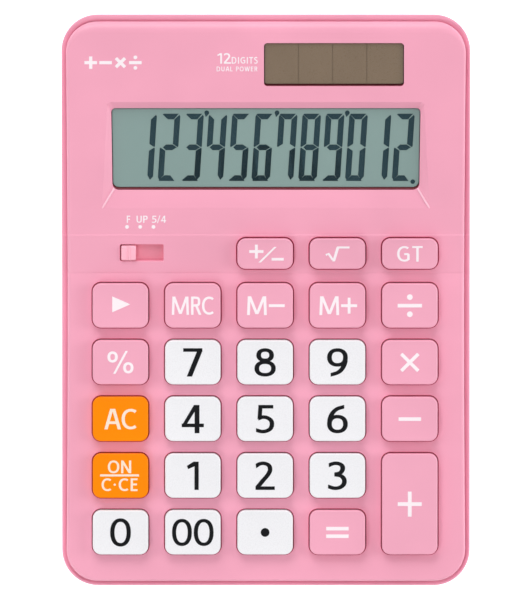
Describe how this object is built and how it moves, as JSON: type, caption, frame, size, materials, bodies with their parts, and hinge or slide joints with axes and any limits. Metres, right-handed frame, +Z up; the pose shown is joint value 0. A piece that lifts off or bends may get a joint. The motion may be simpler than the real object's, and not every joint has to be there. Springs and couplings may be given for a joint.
{
  "type": "desk calculator",
  "caption": "Desktop calculator with a sloping display facet, solar window, rounding switch, separate press keys and a sliding battery cover.",
  "frame": {"origin": "middle of the bounding box's base, on the surface that the rubber feet stand on", "axes": "+Y towards the display end, along the longest side; +X to the user's right; +Z up, the thin direction"},
  "size_m": [0.1072, 0.15, 0.0316],
  "materials": {
    "case_pink": "moulded, fine satin",
    "key_pink": "moulded, soft gloss",
    "key_white": "moulded, soft gloss",
    "key_orange": "moulded, soft gloss",
    "clear_window": "clear acrylic",
    "lcd_glass": "grey-green liquid crystal panel under its polariser",
    "ribbon": "polyimide film",
    "solar_cell": "amorphous silicon on glass",
    "wire_red": "PVC",
    "wire_black": "PVC",
    "board_green": "solder mask",
    "epoxy_black": "epoxy",
    "silicone": "satin",
    "cell_sleeve": "plain sleeve",
    "spring_metal": "plated spring steel",
    "rubber_foot": "matt",
    "screw_steel": "zinc plated"
  },
  "bodies": {
    "housing": {"top_case": "case_pink", "bottom_case": "case_pink", "lcd_holder": "case_pink", "display_window": "clear_window", "solar_window": "clear_window", "lcd_panel": "lcd_glass", "lcd_connector": "ribbon", "solar_panel": "solar_cell", "solar_wire_positive": "wire_red", "solar_wire_negative": "wire_black", "battery_wire_positive": "wire_red", "battery_wire_negative": "wire_black", "circuit_board": "board_green", "chip_blob": "epoxy_black", "key_mat": "silicone", "battery_cell": "cell_sleeve", "battery_contact_positive": "spring_metal", "battery_contact_negative": "spring_metal", "foot_front_left": "rubber_foot", "case_screw_front_left": "screw_steel", "board_screw_front_left": "screw_steel", "foot_front_right": "rubber_foot", "case_screw_front_right": "screw_steel", "board_screw_front_right": "screw_steel", "foot_rear_left": "rubber_foot", "case_screw_rear_left": "screw_steel", "board_screw_rear_left": "screw_steel", "foot_rear_right": "rubber_foot", "case_screw_rear_right": "screw_steel", "board_screw_rear_right": "screw_steel"},
    "rounding_switch": {"rounding_switch_knob": "key_pink", "switch_contact": "spring_metal"},
    "battery_door": {"battery_cover": "case_pink"},
    "key_plus_minus_cap": {"key_plus_minus": "key_pink"},
    "key_square_root_cap": {"key_square_root": "key_pink"},
    "key_grand_total_cap": {"key_grand_total": "key_pink"},
    "key_check_cap": {"key_check": "key_pink"},
    "key_memory_recall_cap": {"key_memory_recall": "key_pink"},
    "key_memory_minus_cap": {"key_memory_minus": "key_pink"},
    "key_memory_plus_cap": {"key_memory_plus": "key_pink"},
    "key_divide_cap": {"key_divide": "key_pink"},
    "key_percent_cap": {"key_percent": "key_pink"},
    "key_7_cap": {"key_7": "key_white"},
    "key_8_cap": {"key_8": "key_white"},
    "key_9_cap": {"key_9": "key_white"},
    "key_multiply_cap": {"key_multiply": "key_pink"},
    "key_all_clear_cap": {"key_all_clear": "key_orange"},
    "key_4_cap": {"key_4": "key_white"},
    "key_5_cap": {"key_5": "key_white"},
    "key_6_cap": {"key_6": "key_white"},
    "key_minus_cap": {"key_minus": "key_pink"},
    "key_on_clear_cap": {"key_on_clear": "key_orange"},
    "key_1_cap": {"key_1": "key_white"},
    "key_2_cap": {"key_2": "key_white"},
    "key_3_cap": {"key_3": "key_white"},
    "key_plus_cap": {"key_plus": "key_pink"},
    "key_0_cap": {"key_0": "key_white"},
    "key_00_cap": {"key_00": "key_white"},
    "key_point_cap": {"key_point": "key_white"},
    "key_equals_cap": {"key_equals": "key_pink"}
  },
  "joints": [
    {"name": "press_key_plus_minus", "type": "slide", "parent": "housing", "child": "key_plus_minus_cap", "axis": [0, 0.0698, -0.9976], "range_m": [0, 0.0015], "stiffness_N_per_m": 400, "springref_m": -0.0004},
    {"name": "press_key_square_root", "type": "slide", "parent": "housing", "child": "key_square_root_cap", "axis": [0, 0.0698, -0.9976], "range_m": [0, 0.0015], "stiffness_N_per_m": 400, "springref_m": -0.0004},
    {"name": "press_key_grand_total", "type": "slide", "parent": "housing", "child": "key_grand_total_cap", "axis": [0, 0.0698, -0.9976], "range_m": [0, 0.0015], "stiffness_N_per_m": 400, "springref_m": -0.0004},
    {"name": "press_key_check", "type": "slide", "parent": "housing", "child": "key_check_cap", "axis": [0, 0.0698, -0.9976], "range_m": [0, 0.0015], "stiffness_N_per_m": 400, "springref_m": -0.0004},
    {"name": "press_key_memory_recall", "type": "slide", "parent": "housing", "child": "key_memory_recall_cap", "axis": [0, 0.0698, -0.9976], "range_m": [0, 0.0015], "stiffness_N_per_m": 400, "springref_m": -0.0004},
    {"name": "press_key_memory_minus", "type": "slide", "parent": "housing", "child": "key_memory_minus_cap", "axis": [0, 0.0698, -0.9976], "range_m": [0, 0.0015], "stiffness_N_per_m": 400, "springref_m": -0.0004},
    {"name": "press_key_memory_plus", "type": "slide", "parent": "housing", "child": "key_memory_plus_cap", "axis": [0, 0.0698, -0.9976], "range_m": [0, 0.0015], "stiffness_N_per_m": 400, "springref_m": -0.0004},
    {"name": "press_key_divide", "type": "slide", "parent": "housing", "child": "key_divide_cap", "axis": [0, 0.0698, -0.9976], "range_m": [0, 0.0015], "stiffness_N_per_m": 400, "springref_m": -0.0004},
    {"name": "press_key_percent", "type": "slide", "parent": "housing", "child": "key_percent_cap", "axis": [0, 0.0698, -0.9976], "range_m": [0, 0.0015], "stiffness_N_per_m": 400, "springref_m": -0.0004},
    {"name": "press_key_7", "type": "slide", "parent": "housing", "child": "key_7_cap", "axis": [0, 0.0698, -0.9976], "range_m": [0, 0.0015], "stiffness_N_per_m": 400, "springref_m": -0.0004},
    {"name": "press_key_8", "type": "slide", "parent": "housing", "child": "key_8_cap", "axis": [0, 0.0698, -0.9976], "range_m": [0, 0.0015], "stiffness_N_per_m": 400, "springref_m": -0.0004},
    {"name": "press_key_9", "type": "slide", "parent": "housing", "child": "key_9_cap", "axis": [0, 0.0698, -0.9976], "range_m": [0, 0.0015], "stiffness_N_per_m": 400, "springref_m": -0.0004},
    {"name": "press_key_multiply", "type": "slide", "parent": "housing", "child": "key_multiply_cap", "axis": [0, 0.0698, -0.9976], "range_m": [0, 0.0015], "stiffness_N_per_m": 400, "springref_m": -0.0004},
    {"name": "press_key_all_clear", "type": "slide", "parent": "housing", "child": "key_all_clear_cap", "axis": [0, 0.0698, -0.9976], "range_m": [0, 0.0015], "stiffness_N_per_m": 400, "springref_m": -0.0004},
    {"name": "press_key_4", "type": "slide", "parent": "housing", "child": "key_4_cap", "axis": [0, 0.0698, -0.9976], "range_m": [0, 0.0015], "stiffness_N_per_m": 400, "springref_m": -0.0004},
    {"name": "press_key_5", "type": "slide", "parent": "housing", "child": "key_5_cap", "axis": [0, 0.0698, -0.9976], "range_m": [0, 0.0015], "stiffness_N_per_m": 400, "springref_m": -0.0004},
    {"name": "press_key_6", "type": "slide", "parent": "housing", "child": "key_6_cap", "axis": [0, 0.0698, -0.9976], "range_m": [0, 0.0015], "stiffness_N_per_m": 400, "springref_m": -0.0004},
    {"name": "press_key_minus", "type": "slide", "parent": "housing", "child": "key_minus_cap", "axis": [0, 0.0698, -0.9976], "range_m": [0, 0.0015], "stiffness_N_per_m": 400, "springref_m": -0.0004},
    {"name": "press_key_on_clear", "type": "slide", "parent": "housing", "child": "key_on_clear_cap", "axis": [0, 0.0698, -0.9976], "range_m": [0, 0.0015], "stiffness_N_per_m": 400, "springref_m": -0.0004},
    {"name": "press_key_1", "type": "slide", "parent": "housing", "child": "key_1_cap", "axis": [0, 0.0698, -0.9976], "range_m": [0, 0.0015], "stiffness_N_per_m": 400, "springref_m": -0.0004},
    {"name": "press_key_2", "type": "slide", "parent": "housing", "child": "key_2_cap", "axis": [0, 0.0698, -0.9976], "range_m": [0, 0.0015], "stiffness_N_per_m": 400, "springref_m": -0.0004},
    {"name": "press_key_3", "type": "slide", "parent": "housing", "child": "key_3_cap", "axis": [0, 0.0698, -0.9976], "range_m": [0, 0.0015], "stiffness_N_per_m": 400, "springref_m": -0.0004},
    {"name": "press_key_plus", "type": "slide", "parent": "housing", "child": "key_plus_cap", "axis": [0, 0.0698, -0.9976], "range_m": [0, 0.0015], "stiffness_N_per_m": 400, "springref_m": -0.0004},
    {"name": "press_key_0", "type": "slide", "parent": "housing", "child": "key_0_cap", "axis": [0, 0.0698, -0.9976], "range_m": [0, 0.0015], "stiffness_N_per_m": 400, "springref_m": -0.0004},
    {"name": "press_key_00", "type": "slide", "parent": "housing", "child": "key_00_cap", "axis": [0, 0.0698, -0.9976], "range_m": [0, 0.0015], "stiffness_N_per_m": 400, "springref_m": -0.0004},
    {"name": "press_key_point", "type": "slide", "parent": "housing", "child": "key_point_cap", "axis": [0, 0.0698, -0.9976], "range_m": [0, 0.0015], "stiffness_N_per_m": 400, "springref_m": -0.0004},
    {"name": "press_key_equals", "type": "slide", "parent": "housing", "child": "key_equals_cap", "axis": [0, 0.0698, -0.9976], "range_m": [0, 0.0015], "stiffness_N_per_m": 400, "springref_m": -0.0004},
    {"name": "rounding_switch_slide", "type": "slide", "parent": "housing", "child": "rounding_switch", "axis": [1, 0, 0], "range_m": [0, 0.0069]},
    {"name": "battery_cover_slide", "type": "slide", "parent": "housing", "child": "battery_door", "axis": [0, 1, 0], "range_m": [0, 0.03]}
  ]
}
